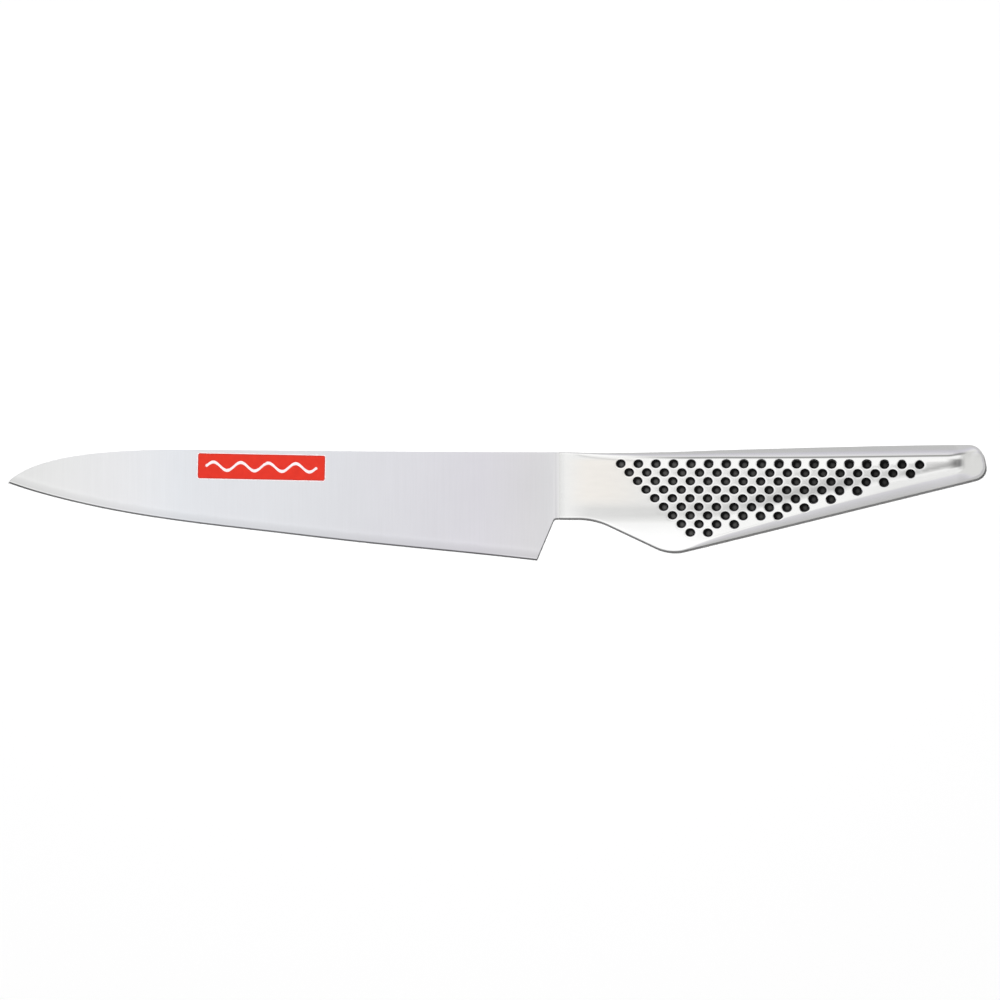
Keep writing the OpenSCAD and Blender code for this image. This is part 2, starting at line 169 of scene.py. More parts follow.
lamp = bpy.data.objects.new("lamp", bpy.data.lights.new("lamp", "AREA"))
lamp.data.shape = "DISK"
lamp.data.size = 0.056
lamp.data.energy = 41.2
lamp.location = (-0.028, 0.168, 2.0)
lamp.rotation_euler = (-lamp.location).to_track_quat("-Z", "Y").to_euler()
lamp.visible_glossy = False
bpy.context.scene.collection.objects.link(lamp)

bpy.context.scene.view_settings.view_transform = "Standard"


# Blade: one sheet of stainless steel, ground from spine to edge and honed on both sides.
# It tapers in thickness to tip and edge, and a tang behind it sits inside the handle.
# It is ground square to its length, so its fine marks run from the spine to the edge.
ORIGIN = (17.5353, 14.0716, 5.4)
SPINE_T, TIP_T, HEEL_T, EDGE_T, HONE = 1.5, 0.9, 0.7, 0.1, math.radians(6.2)
BLADE_LEN, BLADE_H, HEEL_SET, NECK_H = 150.0, 30.3, 6.3, 18.7
TIP = np.array([-156.3, -8.3])
HEEL = np.array([-6.3, -30.3])
CREST = np.array([-102.3, 0.7])
TANG_LEN, TANG_H, TANG_TAPER, TANG_STEP, WELD_W = 14.0, 13.6, 2.4, 0.15, 1.6
SPINE_R, EDGE_R, HEEL_R, HEEL_FILLET = 0.16, 0.12, 0.27, 1.1
EDGE_LIFT, EDGE_SAG = 0.38, 0.07


def in_frame(x, y, z):
    """Points in metres in the shared frame, from lengths along, up and out in millimetres."""
    x, y, z = np.broadcast_arrays(x, y, z)
    return (np.stack([x, y, z], -1).reshape(-1, 3) + np.array(ORIGIN)) / 1000.0


def curve(a, b, shares, t):
    """A cubic curve from a to b. Its four handles are shares of the way in x and in y."""
    h = [a + (b - a) * np.array(s) for s in shares]
    t = t[:, None]
    return (h[0] * (1 - t) ** 3 + 3 * h[1] * t * (1 - t) ** 2 + 3 * h[2] * (1 - t) * t ** 2
            + h[3] * t ** 3)


def blade_half(x, y):
    """Half thickness of the blade: a plane that falls evenly to the tip and to the edge."""
    return (SPINE_T / 2 + (SPINE_T - TIP_T) / 2 / (BLADE_LEN + HEEL_SET) * x
            + (SPINE_T - HEEL_T) / 2 / BLADE_H * y)


def soft_min(a, b, width):
    """The smaller of two values, rounded over a width where they meet."""
    return 0.5 * (a + b - np.sqrt((a - b) ** 2 + width ** 2))


def smooth(s):
    """A step from 0 to 1 whose ends are level: 3 s squared less 2 s cubed."""
    s = np.clip(s, 0.0, 1.0)
    return s * s * (3 - 2 * s)


def outward(points, faces):
    """Turns a closed surface so that its faces point out: its signed volume, summed over
    the faces' corners, is made positive."""
    a, b, c = points[faces[:, 0]], points[faces[:, 1]], points[faces[:, 2]]
    volume = np.einsum("ij,ij->i", a, np.cross(b, c)).sum()
    if faces.shape[1] == 4:
        volume += np.einsum("ij,ij->i", a, np.cross(c, points[faces[:, 3]])).sum()
    return faces if volume > 0 else faces[:, ::-1]


def add_piece(name, points, faces, node, smooth_faces=True):
    """Makes a mesh object at the origin from points in metres, rides it on the body and
    puts it in the place of a node."""
    mesh = bpy.data.meshes.new(name)
    faces = outward(points, faces)
    mesh.from_pydata(points.tolist(), [], faces.tolist())
    mesh.validate()
    mesh.polygons.foreach_set("use_smooth", np.full(len(mesh.polygons), smooth_faces))
    piece = bpy.data.objects.new(name, mesh)
    bpy.context.scene.collection.objects.link(piece)
    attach(piece, "root")
    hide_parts(node)
    return piece


def grid_faces(rows, columns, around=False):
    """Squares of a grid of points, row by row. With around, each row closes on itself."""
    i, j = np.meshgrid(np.arange(rows - 1), np.arange(columns if around else columns - 1),
                       indexing="ij")
    k = (j + 1) % columns
    return np.stack([i * columns + j, (i + 1) * columns + j, (i + 1) * columns + k,
                     i * columns + k], -1).reshape(-1, 4)


def bar_faces(rows, columns):
    """Squares of a bar whose rows are closed loops. Each end is a strip that joins the
    first half of its loop to the second."""
    column = np.arange(columns // 2 - 1)
    end = np.stack([column, column + 1, columns - 2 - column, columns - 1 - column], -1)
    return np.concatenate([grid_faces(rows, columns, around=True), end,
                           end[:, ::-1] + (rows - 1) * columns])


def store(piece, name, values):
    """Keeps one number for each point of a piece, for its material to read."""
    piece.data.attributes.new(name, "FLOAT", "POINT").data.foreach_set(
        "value", np.asarray(values, np.float32).ravel())


spine_line = np.concatenate([np.linspace(0, 1, 40)[:-1, None] ** (1, 1.8) * CREST, curve(
    CREST, TIP, [[0, 0], [0.48, -0.02], [0.85, 0.16], [1, 1]], np.linspace(0, 1, 400))])
edge_line = curve(HEEL, TIP, [[0, 0], [0.33, 0.26], [0.74, 0.39], [1, 1]],
                  np.linspace(0, 1, 600))
heel_lean = math.atan(HEEL_SET / (BLADE_H - NECK_H))
turn = np.linspace(0, math.pi / 2 - heel_lean, 9)
heel_mid = np.array([-HEEL_FILLET * math.tan((math.pi / 2 - heel_lean) / 2),
                     -NECK_H - HEEL_FILLET])
heel_arc = heel_mid + HEEL_FILLET * np.stack([-np.sin(turn), np.cos(turn)], -1)
heel_line = np.concatenate([[[0.0, -NECK_H]], heel_arc, [HEEL]])

# Its section is a loop: down the front face from the spine to the edge, and up the back
# face. Spine and lower rim are rounded a little. The stations along it lie closer
# together at the heel and at the tip, and so do the rows at the honed edge. The edge lies
# a little above its curve at mid-blade, and a little below it nearer the tip.
along = np.concatenate([np.linspace(0, -1.57, 7), [-1.6, -1.63],
                        np.linspace(-1.75, -6.3, 18)[:-1],
                        -6.3 - 12 * np.linspace(0, 1, 40)[:-1] ** 1.4,
                        np.linspace(-18.3, -150, 290)[:-1],
                        -150 - 6.27 * np.sin(np.linspace(0, math.pi / 2, 34))])
top = np.interp(-along, -spine_line[:, 0], spine_line[:, 1])
honed = along <= HEEL[0]
low = np.where(honed, np.interp(-along, -edge_line[:, 0], edge_line[:, 1]),
               np.interp(-along, -heel_line[:, 0], heel_line[:, 1]))
low = low + honed * (EDGE_LIFT * np.exp(-((along + 84) / 24) ** 2)
                     - EDGE_SAG * smooth((-along - 105) / 25)
                     * (1 - smooth((-along - 149) / 7.3)))
low = np.minimum(low, top - 0.05)
edge_slope = np.gradient(edge_line[:, 1], edge_line[:, 0])
slope = np.where(honed, np.interp(-along, -edge_line[:, 0], edge_slope), edge_slope[0])
keen = np.where(honed, low, HEEL[1] + (along - HEEL[0]) * edge_slope[0])
height = (top - low)[:, None]
top, low, keen = top[:, None], low[:, None], keen[:, None]


def blade_face(x, y):
    """Half thickness with the hone, and the distance from the cutting edge. The hone is a
    plane that rises from the edge at its own angle; the smaller of the two is the surface,
    and over the weld's width the face falls to the tang's."""
    from_edge = np.maximum((y - keen) * np.cos(np.arctan(slope))[:, None], 0)
    ground = blade_half(x, y) - TANG_STEP * np.clip(1 + x / WELD_W, 0, 1)
    return soft_min(ground, EDGE_T / 2 + from_edge * math.tan(HONE), 0.02), from_edge


x = along[:, None]
bend = np.linspace(0, math.pi / 2, 5)[None, :]
top_r = np.minimum(SPINE_R, 0.3 * height)
spine_y = top - top_r * (1 - np.cos(bend))
top_z = blade_face(x, top - top_r)[0] - top_r * (1 - np.sin(bend))
low_r = np.minimum(0.5 * blade_face(x, low)[0], np.where(honed, EDGE_R, HEEL_R)[:, None])
edge_y = low + low_r * (1 - np.cos(bend[:, ::-1]))
low_z = blade_face(x, edge_y)[0] - low_r * (1 - np.sin(bend[:, ::-1]))
rows = 1 - (1 - np.linspace(0, 1, 62)[1:-1]) ** 1.35
face_y = top - top_r - (height - top_r - low_r) * rows[None, :]
half_y = np.concatenate([spine_y, face_y, edge_y], 1)
half_z = np.concatenate([top_z, blade_face(x, face_y)[0], low_z], 1)
from_edge = blade_face(x, half_y)[1]
loop_y = np.concatenate([half_y, half_y[:, ::-1]], 1)
loop_z = np.concatenate([half_z, -half_z[:, ::-1]], 1)
count = half_y.shape[1]

# The tang is the same loop, squeezed to its own height and thinned by the step
tang_x = np.array([TANG_LEN, 7.0, 0.0])[:, None]
share = np.clip((loop_y[:1] + NECK_H / 2) / (NECK_H / 2), -1, 1)
tang_y = -NECK_H / 2 + (TANG_H - TANG_TAPER * tang_x / TANG_LEN) / 2 * share
tang_z = np.sign(loop_z[:1]) * (blade_half(tang_x, tang_y) - TANG_STEP)
blade_x = np.concatenate([tang_x + 0 * tang_y, x + 0 * loop_y])
blade_points = in_frame(blade_x, np.concatenate([tang_y, loop_y]),
                        np.concatenate([tang_z, loop_z]))
blade = add_piece("blade_ground", blade_points, bar_faces(len(blade_x), 2 * count),
                  "blade")
both_edges = np.concatenate([from_edge, from_edge[:, ::-1]], 1)
store(blade, "edge_mm", np.concatenate([np.full((3, 2 * count), 12.0), both_edges]))

# Fine lines that run one way over a ground or polished surface. The vector is stretched
# by a scale for each axis before the noise is read, so the marks are long and thin.
ground_marks = bpy.data.node_groups.new("ground_marks", "ShaderNodeTree")
for name, kind in (("Vector", "NodeSocketVector"), ("Per metre", "NodeSocketVector"),
                   ("Detail", "NodeSocketFloat")):
    ground_marks.interface.new_socket(name, in_out="INPUT", socket_type=kind)
for name in ("Lines", "Clouds"):
    ground_marks.interface.new_socket(name, in_out="OUTPUT", socket_type="NodeSocketFloat")
add, _, vector, _ = node_maker(ground_marks)
given = add("NodeGroupInput").outputs
lines = add("ShaderNodeTexNoise", Vector=vector("MULTIPLY", given["Vector"], given["Per metre"]),
            Scale=1.0, Detail=given["Detail"], Roughness=0.6)
clouds = add("ShaderNodeTexNoise", Vector=given["Vector"], Scale=38.0, Detail=3.0,
             Roughness=0.5)
add("NodeGroupOutput", Lines=lines.outputs[0], Clouds=clouds.outputs[0])


def steel(name, colour, roughness, per_metre, line_tint=0.03, cloud_tint=0.02, grain=0.05,
          bump=0.00002, tint=None):
    """Ground steel: fine lines and faint clouds in its colour, its roughness and its relief.
    tint, if given, is a function that adds nodes and returns a factor, grey or a colour."""
    made, add, calc, vector, span = new_material(name)
    place = add("ShaderNodeTexCoord").outputs["Object"]
    marks = add("ShaderNodeGroup", {"node_tree": ground_marks}, Vector=place,
                Per_metre=per_metre, Detail=4.0).outputs
    shade = span(marks["Lines"], 0.25, 0.75, 1.0 - line_tint, 1.0 + line_tint, soft=False)
    haze = span(marks["Clouds"], 0.3, 0.7, 1.0 - cloud_tint, 1.0 + cloud_tint, soft=False)
    tone = vector("SCALE", colour, scale=calc("MULTIPLY", shade, haze))
    if tint is not None:
        tone = vector("MULTIPLY", tone, tint(place, add, calc, vector, span))
    rough = span(marks["Lines"], 0.25, 0.75, roughness - grain, roughness + grain, soft=False)
    relief = add("ShaderNodeBump", Strength=0.35, Distance=bump, Height=marks["Lines"])
    shader = add("ShaderNodeBsdfPrincipled", Base_Color=tone, Metallic=1.0, Roughness=rough,
                 Normal=relief.outputs[0])
    add("ShaderNodeOutputMaterial", i0=shader.outputs[0])
    return made


def honed_zone(place, add, calc, vector, span):
    """A tint for the blade: a darker honed strip with a wavy upper limit, a painted darkening
    towards the very edge for the dark that the honed bevel mirrors, a painted highlight along
    the very edge near the tip and near the heel, and the tone along the blade, a painted
    reflection which stands for the room that the steel mirrors and is fitted to the photograph."""
    edge = add("ShaderNodeAttribute", {"attribute_name": "edge_mm"}).outputs["Fac"]
    wave = add("ShaderNodeTexNoise", Vector=place, Scale=420.0, Detail=2.0).outputs[0]
    strip = span(calc("MULTIPLY_ADD", wave, -1.3, edge), 0.9, 1.9, 0.955, 1.0)
    painted_edge_dark = span(edge, 0.1, 3.0, 0.885, 1.0)
    x = add("ShaderNodeSeparateXYZ", i0=place).outputs["X"]
    ends = calc("MAXIMUM", span(x, -0.055, -0.115, 0.0, 0.16, soft=False),
                span(x, -0.004, 0.010, 0.0, 0.22, soft=False))
    painted_glint = calc("MULTIPLY_ADD", span(edge, 0.42, 0.18), ends, 1.0)
    final = calc("MULTIPLY", calc("MULTIPLY", strip, painted_edge_dark), painted_glint)
    tone = ramp(add, span(x, -0.14, 0.02, soft=False), [
        (0.0, (0.90, 0.90, 0.865)), (0.10, (0.935, 0.935, 0.908)),
        (0.206, (0.963, 0.963, 0.953)), (0.31, (0.921, 0.939, 0.948)),
        (0.42, (0.886, 0.895, 0.904)), (0.525, (0.877, 0.886, 0.894)),
        (0.844, (0.838, 0.822, 0.846)), (0.933, (0.822, 0.808, 0.808)),
        (0.955, (0.824, 0.814, 0.81)), (0.975, (0.848, 0.842, 0.835))])
    return vector("SCALE", tone, scale=final)


blade.data.materials.append(steel("ground_blade", (0.945, 0.948, 0.982), 0.34,
                                  (2600.0, 60.0, 400.0), line_tint=0.018, tint=honed_zone))


# Weld at the neck: a bead on each side fills a shallow groove in the blade's face and
# the step up to the handle, and is ground and polished until the two run together.
NECK_HALF, SWELL_SLOPE = 1.1, 0.082


def set_normals(piece, chosen, normals):
    """Gives chosen points of a mesh the exact normals of its formula; the others keep the
    mean of their faces."""
    found = np.zeros(len(piece.data.vertices) * 3, np.float32)
    piece.data.vertex_normals.foreach_get("vector", found)
    found = found.reshape(-1, 3)
    found[chosen] = normals / np.linalg.norm(normals, axis=1)[:, None]
    piece.data.normals_split_custom_set_from_vertices(found.tolist())


share = np.linspace(0, 1, 17)[None, :]
y = np.linspace(-0.04, -NECK_H + 0.04, 60)[:, None]
x = -WELD_W * (1 - share) + 0 * y
start = blade_half(-WELD_W, y)
rise = smooth(share)
weld_top = (start + (NECK_HALF - start) * rise
            + SWELL_SLOPE * WELD_W * (share ** 3 - share ** 2))
weld_low = blade_half(x, y) - TANG_STEP * share - 0.004
ends = np.minimum(0.3, np.minimum(-y, y + NECK_H))
weld_top = weld_top - share * (0.3 - np.sqrt(0.09 - (0.3 - ends) ** 2))
weld_y = np.concatenate([y + 0 * x, (y + 0 * x)[:, ::-1]], 1)
weld_x = np.concatenate([x, x[:, ::-1]], 1)
weld_z = np.concatenate([np.maximum(weld_top, weld_low + 0.002), weld_low[:, ::-1]], 1)
columns = weld_x.shape[1]
neck_points = np.concatenate([in_frame(weld_x, weld_y, side * weld_z) for side in (1, -1)])
neck_faces = outward(neck_points, bar_faces(60, columns))
neck_faces = np.concatenate([neck_faces, neck_faces[:, ::-1] + 60 * columns])
neck = add_piece("neck_weld_ground", neck_points, neck_faces, "neck_weld")
top_points = (np.arange(60)[:, None] * columns + np.arange(columns // 2)).ravel()
fall_x = np.gradient(weld_top, axis=1) / np.gradient(x, axis=1)
fall_y = np.gradient(weld_top, axis=0) / np.gradient(y, axis=0)
weld_normal = np.stack([-fall_x, -fall_y, 1 + 0 * fall_x], -1).reshape(-1, 3)
set_normals(neck, np.concatenate([top_points, top_points + 60 * columns]),
            np.concatenate([weld_normal, weld_normal * (1, 1, -1)]))


def run_together(place, add, calc, vector, span):
    """A tint for the weld, a painted tone which grows from the blade's painted reflection to
    the handle's painted shade, and is darker between them.
    """
    x = add("ShaderNodeSeparateXYZ", i0=place).outputs["X"]
    return ramp(add, span(x, (ORIGIN[0] - WELD_W) / 1000, ORIGIN[0] / 1000), [
        (0.0, (1.01, 1.0, 1.02)), (0.1, (0.95, 0.945, 0.96)), (0.35, (0.89, 0.885, 0.90)),
        (1.0, (1.01, 1.01, 1.01))])


neck.data.materials.append(steel("ground_weld", (0.79, 0.79, 0.795), 0.32, (900.0, 200.0, 300.0),
                                 line_tint=0.012, cloud_tint=0.012, tint=run_together))


# Handle: two halves pressed from stainless sheet, welded at the rim and polished satin.
# Each face swells from neck to butt, is dished between two ridges and carries ninety-six
# pressed dimples; in front it rolls down to the forefinger, and a flat pad ends it.
HANDLE_LEN, NECK_X, BELLY_X, BELLY_H, BUTT_LOW = 121.9, 10.0, 31.4, 28.8, 6.9
TOP_RISE, END_LEAN = 2.2, math.radians(17.7)
BUTT_HALF, RIM_HALF, SWELL_LEN = 5.4, 2.45, 105.0
DISH_DEPTH, DISH_START, DISH_FULL, DISH_END, DISH_WALL = 1.2, 1.0, 85.0, 114.6, 1.9
BULGE = 0.5
END_UP, END_LOW, TOP_DIP = (119.77, 2.11), (121.67, -6.755), 0.3
REAR = math.atan((BELLY_H + END_LOW[1]) / (END_LOW[0] - BELLY_X))
END_TOP = HANDLE_LEN - (TOP_RISE + BUTT_LOW) * math.tan(END_LEAN)
DIMPLE_R, DIMPLE_DEPTH = 1.25, 0.7
BALL_R = (DIMPLE_R ** 2 + DIMPLE_DEPTH ** 2) / (2 * DIMPLE_DEPTH)
OVAL, DIMPLE_SOFT = np.array([1.15, 1.01]), 0.2
SHEET, RIM_W, SOLID, SEAM = 1.2, 1.6, 17.5, 0.8
BELLY_R, NECK_R, BUTT_TOP_R, BUTT_LOW_R, ROLL_R, PALM_BLEND = 12.5, 20.5, 4.28, 3.57, 60.0, 18.0
FIELD_START, FIELD_TOP, FIELD_END, PITCH, ROW_STEP = 17.5, 3.4, 103.5, 5.0, 2.46
FIELD_LAND, FIELD_FLARE = 1.66, math.radians(2.6)
CREASE_NEAR, CREASE_FAR, BUTT_FALL, BUTT_CROWN = 7.3, 4.7, 1.5, 0.8


def fillet(a, b, c, r, steps=28):
    """Points of the arc of radius r that rounds the corner b between a and c."""
    a, b, c = map(np.array, (a, b, c))
    u, v = (a - b) / np.linalg.norm(a - b), (c - b) / np.linalg.norm(c - b)
    half = math.acos(float(u @ v)) / 2
    mid = b + (u + v) / np.linalg.norm(u + v) * r / math.sin(half)
    first, last = b + u * r / math.tan(half) - mid, b + v * r / math.tan(half) - mid
    begin = math.atan2(first[1], first[0])
    swing = math.atan2(first[0] * last[1] - first[1] * last[0], float(first @ last))
    angle = begin + swing * np.linspace(0, 1, steps)
    return mid + r * np.stack([np.cos(angle), np.sin(angle)], -1)


def even(points, step):
    """The same line with points at even steps along it: its length is summed up and read
    back at equal distances."""
    length = np.concatenate([[0], np.cumsum(np.linalg.norm(np.diff(points, axis=0), axis=1))])
    places = np.linspace(0, length[-1], int(length[-1] / step) + 1)
    return np.stack([np.interp(places, length, points[:, i]) for i in (0, 1)], -1)


def top_y(x):
    """The top of the handle rises evenly, level at both ends, after a slight dip."""
    dip = TOP_DIP * smooth(x / 14.0) * (1 - 0.7 * smooth((x - 30.0) / 20.0))
    return TOP_RISE * smooth(x / HANDLE_LEN) - dip


neck_low, neck_corner = (-1.0, -NECK_H), (NECK_X, -NECK_H)
belly = (BELLY_X, -BELLY_H)
rear_end = (END_LOW[0] + 30, END_LOW[1] + 30 * math.tan(REAR))
top_x = np.linspace(0, 0.92 * END_TOP, 80)
low_curve = np.concatenate([[rear_end], fillet(rear_end, belly, neck_corner, BELLY_R),
                            fillet(belly, neck_corner, neck_low, NECK_R), [neck_low]])[::-1]
rim_line = np.concatenate([
    np.stack([top_x, top_y(top_x)], -1),
    fillet((top_x[-1], END_UP[1]), END_UP, END_LOW, BUTT_TOP_R),
    fillet(END_UP, END_LOW, belly, BUTT_LOW_R), low_curve[::-1][1:-1], [[0.0, -NECK_H]]])
rim_line = even(rim_line, 0.42)
way = np.gradient(rim_line, axis=0)
way /= np.linalg.norm(way, axis=1)[:, None]
way[0], way[-1] = (1, 0), (-1, 0)
inner = np.stack([way[:, 1], -way[:, 0]], -1)
RIM_R = 0.3
bend = np.linspace(0, math.pi / 2, 6)
end_set = RIM_R * (1 - np.cos(bend[1:]))
end_y = np.concatenate([end_set - NECK_H, np.linspace(-NECK_H + 0.9, -0.9, 24), -end_set[::-1]])
end_drop = RIM_R * (1 - np.sin(bend[1:]))
end_drop = np.concatenate([end_drop, np.zeros(24), end_drop[::-1]])


def rim_ring(depth):
    """The outline moved inward by a depth, closed by points up the end at the blade."""
    moved = rim_line + inner * np.broadcast_to(depth, len(rim_line))[:, None]
    up = moved[-1, 1] + (end_y + NECK_H) / NECK_H * (moved[0, 1] - moved[-1, 1])
    return np.concatenate([moved, np.stack([0 * up, up], -1)])


def low_y(x):
    """The lower rim, read from its rounded outline."""
    return np.interp(x, low_curve[:, 0], low_curve[:, 1])


def swell(x):
    """Share of the handle's growth in thickness: quick at the neck, level at its end."""
    return 1 - (1 - np.clip(x / SWELL_LEN, 0, 1)) ** 2


def mid_half(x):
    """Half thickness at the ridges: the swell, less a fall over the butt."""
    fall = np.maximum(0, x - DISH_END) / (HANDLE_LEN - DISH_END)
    return NECK_HALF + (BUTT_HALF - NECK_HALF) * swell(x) - BUTT_FALL * fall ** 2


def crown(x):
    """Fall of the face towards both rims, which grows over the butt's pad."""
    return BUTT_CROWN * smooth((x - DISH_END) / (END_TOP - DISH_END))


def dish(x):
    """Depth of the dish: grows from the neck, and ends at a short rounded wall."""
    return (DISH_DEPTH * smooth((x - DISH_START) / (DISH_FULL - DISH_START))
            * (1 - 0.3 * smooth((x - 88.0) / 22.0))
            * (1 - smooth((x - DISH_END + DISH_WALL) / DISH_WALL)))


def crease_y(x):
    """The line along which the dish is deepest; in front it is where the face rolls down."""
    above = CREASE_NEAR + (CREASE_FAR - CREASE_NEAR) * (x - BELLY_X) / (DISH_END - BELLY_X)
    rear = (x - BELLY_X) * math.tan(REAR) - BELLY_H + above
    level = -0.91 * NECK_H
    return level + (rear - level) * smooth((x - BELLY_X) / PALM_BLEND)


def roll(x):
    """How far the face has rolled down at the lower ridge, on an arc: the width of the
    roll, squared, over twice the radius."""
    return (np.maximum(0, crease_y(x) - low_y(x)) ** 2 / (2 * ROLL_R)
            * (1 - smooth((x - BELLY_X) / PALM_BLEND)))


def strip_w(x):
    """Width of the slope between the upper ridge and the dish's floor; it narrows rearward."""
    return 3.0 - 1.8 * smooth((x - 60.0) / 52.0)


def face_half(x, y):
    """Half thickness of the handle at a place of its face. Between the ridges it is the
    swell less the dish, which has a slope at each ridge and a level floor between them,
    and less the roll below the crease. Outside them it falls at about 45 degrees to the
    rims, a little bulged. Where surfaces meet they are rounded into one another."""
    rim_top = NECK_HALF + (RIM_HALF - NECK_HALF) * swell(x)
    flat = mid_half(x) - crown(x)
    upper = np.maximum(0.05, flat - rim_top)
    lower = np.maximum(0.05, flat - roll(x) - RIM_HALF) / math.cos(REAR)
    yu, yc, yl = top_y(x) - upper, crease_y(x), low_y(x) + lower
    s, u = (yu - y) / strip_w(x), (yc - y) / (yc - yl)
    across = np.clip(2 * (yu - y) / (yu - yl) - 1, -1, 1)
    share = soft_min(soft_min(s, 1.0, 0.22), 1 - u, 0.22)
    face = (mid_half(x) - crown(x) * across ** 2 - dish(x) * share
            - roll(x) * np.clip(u, 0, 1) * (0.3 + 0.7 * np.clip(u, 0, 1)))
    soft = 0.05 + 0.2 * smooth(x / 30.0) + 1.0 * smooth((x - 113.0) / 4.0)
    t, v = np.clip((y - yu) / upper, 0, 1), np.clip((yl - y) / lower, 0, 1)
    face = soft_min(face, flat - (y - yu) + 0.6 * BULGE * upper * t * (1 - t), soft)
    return soft_min(face, flat - roll(x) - (yl - y) * math.cos(REAR)
                    + 0.05 * lower * v * (1 - v), soft)


row, column = np.meshgrid(np.arange(12), np.arange(25), indexing="ij")
dimple_x = (FIELD_START + ROW_STEP * row + PITCH * column).ravel()
dimple_y = (-FIELD_TOP - ROW_STEP * row + 0.0 * column).ravel()
kept = (dimple_x <= FIELD_END) & (dimple_y - low_y(dimple_x)
                                  >= FIELD_LAND + math.tan(FIELD_FLARE) * (dimple_x - BELLY_X))
# The pressed rows depart a little from the even pattern: shrunk, moved and leaning
dimples = np.stack([0.9973 * dimple_x - 0.15 + 0.06 * np.abs(row.ravel() - 3.3),
                    0.9876 * dimple_y - 0.004 * (dimple_x - FIELD_START) + 0.11], -1)[kept]


def skin(x, y):
    """The face with its dimples. Each is part of a ball, sunk below the face's level at its
    middle and rounded into the face at its rim; the lower of face and ball is the surface."""
    gap = np.hypot((x[:, None] - dimples[:, 0]) / OVAL[0], (y[:, None] - dimples[:, 1]) / OVAL[1])
    near = np.argmin(gap, 1)
    r = gap[np.arange(len(x)), near]
    level = face_half(dimples[:, 0], dimples[:, 1])[near] - DIMPLE_DEPTH + BALL_R
    ball = level - np.sqrt(np.maximum(BALL_R ** 2 - np.minimum(r, 1.46) ** 2, 0))
    width = DIMPLE_SOFT * (1 - smooth((r - 1.35) / 0.35))
    return soft_min(ball + 3 * np.maximum(r - 1.46, 0), face_half(x, y), width)


# The outer skin: rings along the rim, which round it over; rings round each dimple;
# lines along both ridges; and an even lattice between them
rim_r = RIM_R + 0.9 * smooth((rim_line[:, 0] - 115.5) / 5.5)
rings = [rim_ring(0.0)]
drops = [np.concatenate([rim_r, end_drop])]
for b in bend[1:]:
    rings.append((rim_line + inner * (rim_r * (1 - math.cos(b)))[:, None])[1:-1])
    drops.append((rim_r * (1 - math.sin(b)))[1:-1])
rings.append((rim_line + inner * (rim_r + 0.35)[:, None])[1:-1])
ring_size, rounded = len(rings[0]), sum(map(len, drops))
radii, sides = (0.6, 1.0, 1.12, 1.22, 1.32, 1.44, 1.56), (8, 16, 24, 24, 24, 24, 24)
circles = np.concatenate([[[0.0, 0.0]]] + [
    r * np.stack([np.cos(t), np.sin(t)], -1) for r, n in zip(radii, sides)
    for t in [np.arange(n) * 2 * math.pi / n]])
cups = (dimples[:, None, :] + OVAL * circles[None, :, :]).reshape(-1, 2)
ridge_x = np.arange(1.0, 118.0, 0.45)
flat = mid_half(ridge_x) - crown(ridge_x)
ridge_top = top_y(ridge_x) - np.maximum(
    0.05, flat - NECK_HALF - (RIM_HALF - NECK_HALF) * swell(ridge_x))
ridge_low = low_y(ridge_x) + np.maximum(0.05, flat - roll(ridge_x) - RIM_HALF) / math.cos(REAR)
side_steps = np.array([-0.62, -0.45, -0.29, -0.13, 0.03, 0.19, 0.42])
foot, crease = ridge_top - strip_w(ridge_x), crease_y(ridge_x)
ridges = np.concatenate([np.stack([ridge_x, line + d], -1) for line in (ridge_top, ridge_low)
                         for d in side_steps] + [
    np.stack([ridge_x, line + d], -1)[ridge_x > 30] for line in (foot, crease)
    for d in (-0.36, -0.12, 0.12, 0.36)])
strip_foot = -2.9 * (1 - np.exp(-(ridge_x - 1.5) / 11.0))
ridges = np.concatenate([ridges] + [np.stack([ridge_x, strip_foot + d], -1)[
    (ridge_x > 5) & (ridge_x < 27)] for d in (-0.4, -0.2, 0.0, 0.2)])


def inside(points, clear):
    """True where a point lies inside the outline by at least a distance, measured to the
    nearest point of the outline."""
    gap = points[:, None, :] - rim_line[None, :, :]
    near = np.argmin((gap ** 2).sum(-1), 1)
    depth = (gap[np.arange(len(points)), near] * inner[near]).sum(-1)
    return (depth > clear) & (points[:, 0] > 0.2) & (points[:, 0] < HANDLE_LEN)


def lattice(step, x0=0.3, x1=HANDLE_LEN):
    """Points of a lattice of even triangles over the whole handle."""
    i, j = np.meshgrid(np.arange(x0, x1, step), np.arange(-29.5, 3.0, step * 0.866), indexing="ij")
    return np.stack([i + 0.5 * step * (np.arange(j.shape[1]) % 2)[None, :], j], -1).reshape(-1, 2)


ridges = ridges[inside(ridges, 0.75)]
fine = np.concatenate([lattice(0.7, 0.4, 109.9), lattice(0.28, 110.0)])
fine = fine[inside(fine, 0.85)]
for line, clear in ((ridge_top, 0.62), (ridge_low, 0.62), (foot, 0.5), (crease, 0.5)):
    fine = fine[np.abs(fine[:, 1] - np.interp(fine[:, 0], ridge_x, line)) > clear]


def clear_of_dimples(points, clear):
    """The points that lie at least a distance from the middle of every dimple."""
    gap = np.hypot((points[:, 0, None] - dimples[:, 0]) / OVAL[0],
                   (points[:, 1, None] - dimples[:, 1]) / OVAL[1])
    return points[gap.min(1) > clear]


ridges, fine = clear_of_dimples(ridges, 1.66), clear_of_dimples(fine, 1.78)
plane = np.concatenate(rings + [cups, ridges, fine])
drop = np.concatenate(drops + [np.zeros(len(plane) - rounded)])


def triangulate(points, loops):
    """Joins points of the plane into triangles within closed loops, given as index lists.
    Returns for each new point the place of the given one, and the triangles."""
    borders = [(int(a), int(b)) for loop in loops for a, b in zip(loop, np.roll(loop, -1))]
    _, _, faces, origin, _, _ = delaunay_2d_cdt(points.tolist(), borders, [], 1, 1e-7)
    source = np.array([o[0] if o else -1 for o in origin])
    return source, np.array([f for f in faces if len(f) == 3])


